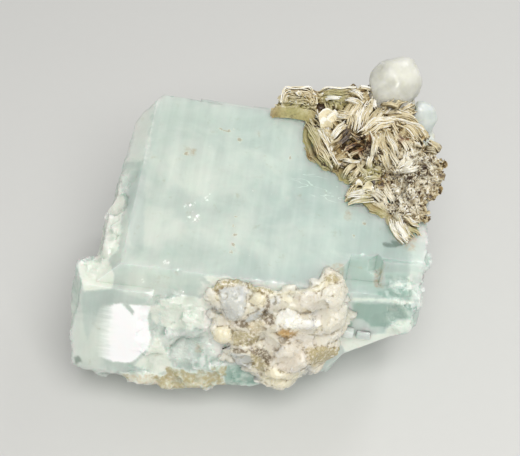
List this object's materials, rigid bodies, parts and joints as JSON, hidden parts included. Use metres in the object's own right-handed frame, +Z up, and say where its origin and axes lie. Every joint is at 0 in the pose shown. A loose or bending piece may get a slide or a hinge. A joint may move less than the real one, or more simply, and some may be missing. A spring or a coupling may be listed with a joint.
{
  "type": "aquamarine crystal specimen",
  "caption": "Stubby pale blue-green beryl prism lying on its side, with muscovite blades over one corner, pale quartz crystals and a cream feldspar cluster on its front.",
  "frame": {"origin": "bottom centre of the bounding box, on the flat that the specimen lies on", "axes": "+X along the prism towards the mica end, +Z up, -Y the front with the feldspar cluster"},
  "size_m": [0.0444, 0.037, 0.0303],
  "materials": {
    "beryl": "pale blue-green beryl, cloudy inside, glossy with frosted broken patches",
    "mica": "cream to olive-brown muscovite with pearly blade edges",
    "milky_quartz": "milky white, satin",
    "pale_quartz": "pale bluish white, satin",
    "feldspar": "warm white, sugary grain with rusty and olive stains"
  },
  "bodies": {
    "root": {"aquamarine": "beryl", "muscovite": "mica", "quartz_bud": "milky_quartz", "quartz_side": "pale_quartz", "feldspar": "feldspar"}
  },
  "joints": []
}
